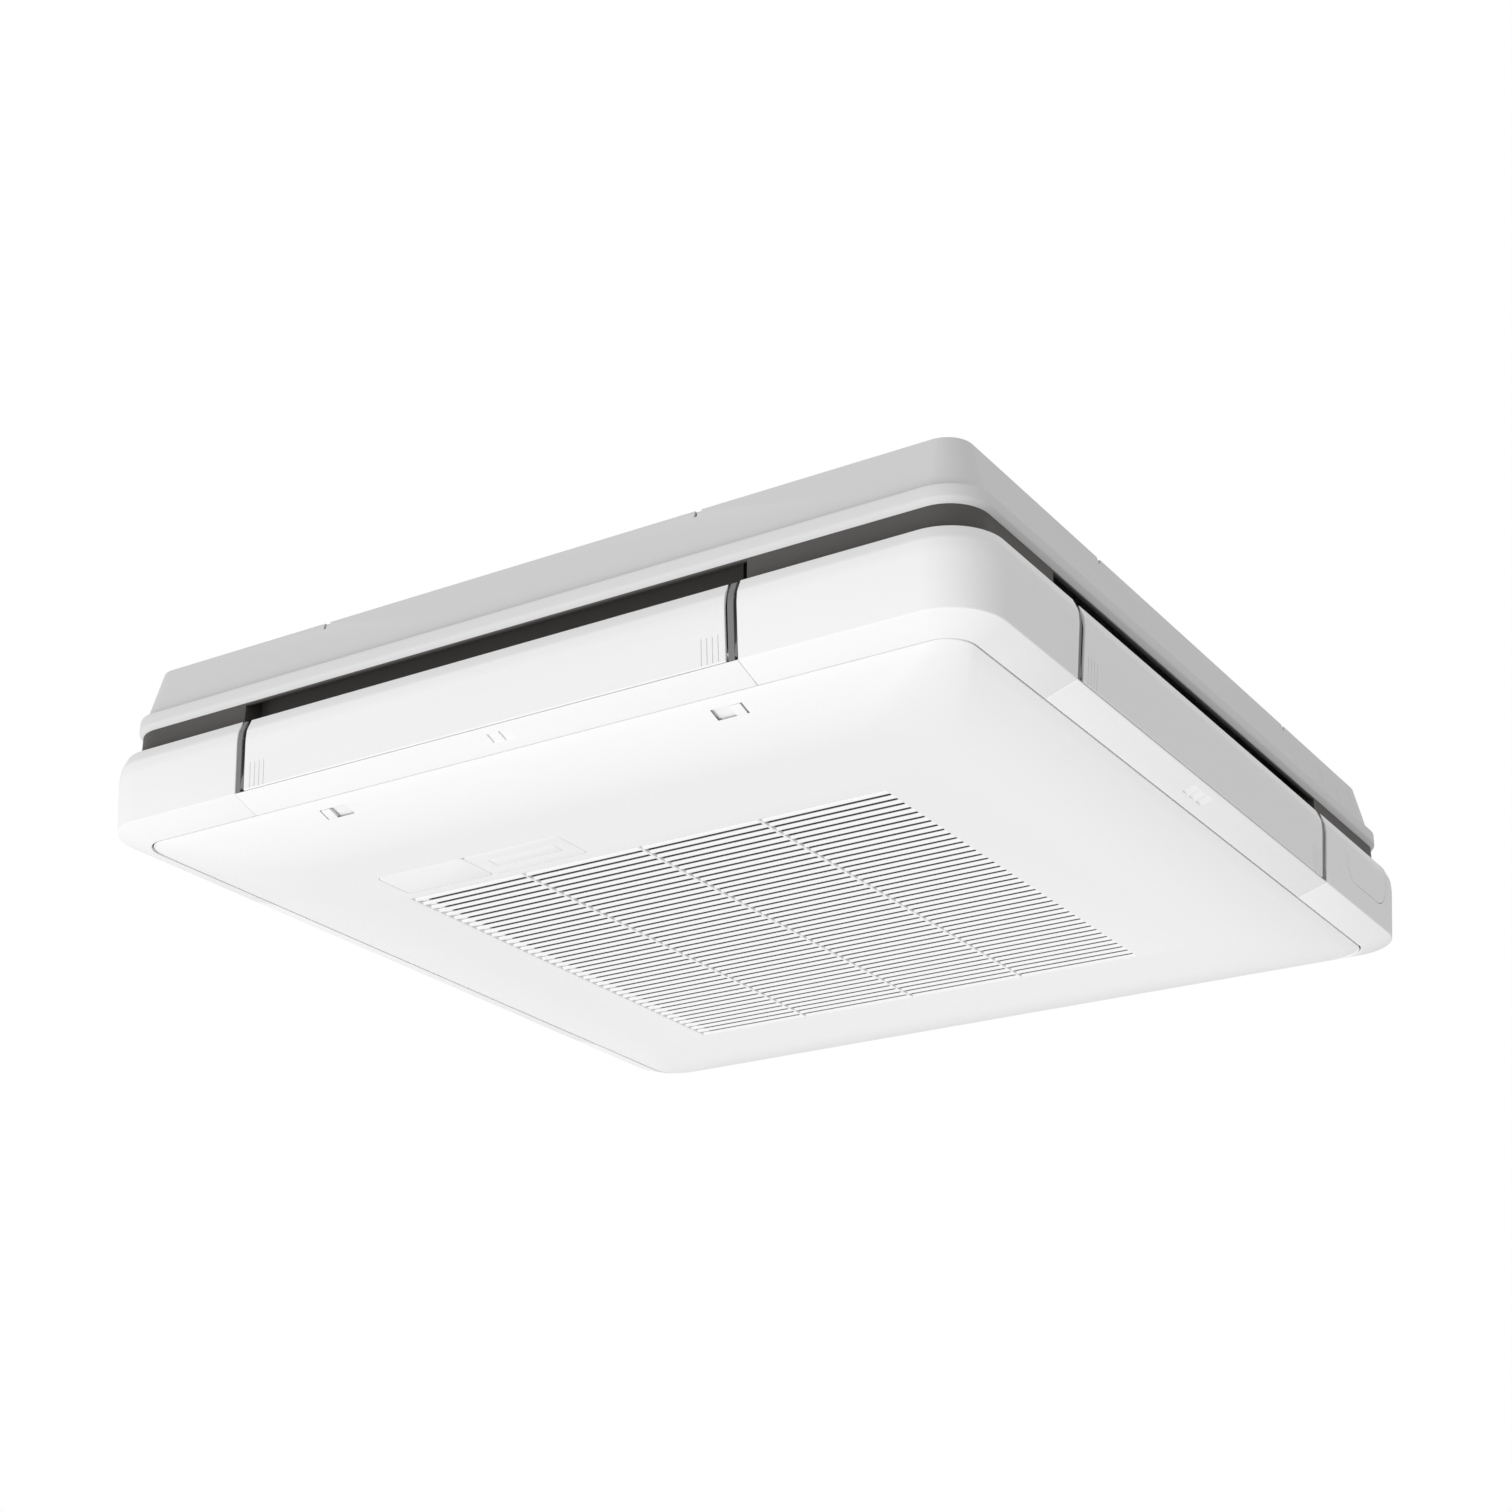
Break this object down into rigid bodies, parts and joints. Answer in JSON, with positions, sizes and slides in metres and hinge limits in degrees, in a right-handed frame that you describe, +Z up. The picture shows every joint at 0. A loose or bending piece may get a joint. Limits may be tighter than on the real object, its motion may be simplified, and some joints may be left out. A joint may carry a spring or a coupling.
{
  "type": "ceiling-suspended air conditioner",
  "caption": "Square ceiling-suspended air conditioner with side outlet flaps, a hinged louvred suction panel, and its fan, coil, drain and controls inside.",
  "frame": {"origin": "centre of the top face, which lies against the ceiling", "axes": "+Z up to the ceiling; -Y to the side beside which the badge plate and the latches of the suction panel lie; +X to the side with the pipe knock-out"},
  "size_m": [0.95, 0.95, 0.198],
  "materials": {
    "panel_white": "fine satin grain",
    "casing_grey": "fine satin grain",
    "outlet_dark": "matt",
    "grey_plastic": "matt",
    "galvanised_steel": "zinc spangle",
    "foam": "expanded bead foam",
    "duct_foam": "expanded bead foam",
    "coil_fins": "bare fins",
    "copper": "drawn copper",
    "flare_brass": "machined",
    "fan_black": "matt",
    "rubber": "matt",
    "board_green": "solder mask",
    "filter_mesh": "woven net in a moulded frame",
    "badge_white": "blank, satin"
  },
  "bodies": {
    "unit": {"panel_frame": "panel_white", "pipe_cover": "panel_white", "side_rim_front": "panel_white", "side_rim_right": "panel_white", "side_rim_back": "panel_white", "side_rim_left": "panel_white", "corner_cover_front_right": "panel_white", "corner_cover_back_right": "panel_white", "corner_cover_back_left": "panel_white", "corner_cover_front_left": "panel_white", "upper_casing": "casing_grey", "outlet_frame": "outlet_dark", "drain_pump": "grey_plastic", "drain_pipe": "grey_plastic", "float_switch": "grey_plastic", "terminal_block": "grey_plastic", "flap_bushing_front": "grey_plastic", "flap_bushing_right": "grey_plastic", "flap_bushing_back": "grey_plastic", "flap_bushing_left": "grey_plastic", "swing_motor_front": "grey_plastic", "swing_motor_right": "grey_plastic", "swing_motor_back": "grey_plastic", "swing_motor_left": "grey_plastic", "top_plate": "galvanised_steel", "control_box": "galvanised_steel", "control_box_cover": "galvanised_steel", "fan_motor": "galvanised_steel", "hanger_front_right": "galvanised_steel", "hanger_back_right": "galvanised_steel", "hanger_back_left": "galvanised_steel", "hanger_front_left": "galvanised_steel", "drain_pan": "foam", "foam_liner": "duct_foam", "heat_exchanger": "coil_fins", "liquid_pipe": "copper", "gas_pipe": "copper", "liquid_flare_nut": "flare_brass", "gas_flare_nut": "flare_brass", "bell_mouth": "fan_black", "motor_cushion_1": "rubber", "motor_cushion_2": "rubber", "motor_cushion_3": "rubber", "circuit_board": "board_green"},
    "fan": {"motor_shaft": "galvanised_steel", "impeller": "fan_black", "fan_nut": "galvanised_steel"},
    "front_flap": {"flap_front": "panel_white"},
    "right_flap": {"flap_right": "panel_white"},
    "back_flap": {"flap_back": "panel_white"},
    "left_flap": {"flap_left": "panel_white"},
    "suction_panel": {"suction_panel": "panel_white", "sensor_cover": "panel_white", "badge_cover": "panel_white", "badge_plate": "badge_white", "air_filter": "filter_mesh"},
    "left_latch": {"latch_knob_left": "panel_white"},
    "right_latch": {"latch_knob_right": "panel_white"}
  },
  "joints": [
    {"name": "fan_spin", "type": "hinge", "parent": "unit", "child": "fan", "pos_m": [0, 0, -0.07], "axis": [0, 0, 1], "continuous": true},
    {"name": "front_flap_swing", "type": "hinge", "parent": "unit", "child": "front_flap", "pos_m": [-0.014, -0.467, -0.1585], "axis": [1, 0, 0], "range_deg": [0, 60]},
    {"name": "right_flap_swing", "type": "hinge", "parent": "unit", "child": "right_flap", "pos_m": [0.467, -0.029, -0.1585], "axis": [0, 1, 0], "range_deg": [0, 60]},
    {"name": "back_flap_swing", "type": "hinge", "parent": "unit", "child": "back_flap", "pos_m": [0.014, 0.467, -0.1585], "axis": [-1, 0, 0], "range_deg": [0, 60]},
    {"name": "left_flap_swing", "type": "hinge", "parent": "unit", "child": "left_flap", "pos_m": [-0.467, 0.029, -0.1585], "axis": [0, -1, 0], "range_deg": [0, 60]},
    {"name": "suction_panel_swing", "type": "hinge", "parent": "unit", "child": "suction_panel", "pos_m": [0, 0.425, -0.177], "axis": [1, 0, 0], "range_deg": [0, 90]},
    {"name": "left_latch_slide", "type": "slide", "parent": "suction_panel", "child": "left_latch", "axis": [1, 0, 0], "range_m": [0, 0.008]},
    {"name": "right_latch_slide", "type": "slide", "parent": "suction_panel", "child": "right_latch", "axis": [-1, 0, 0], "range_m": [0, 0.008]}
  ]
}
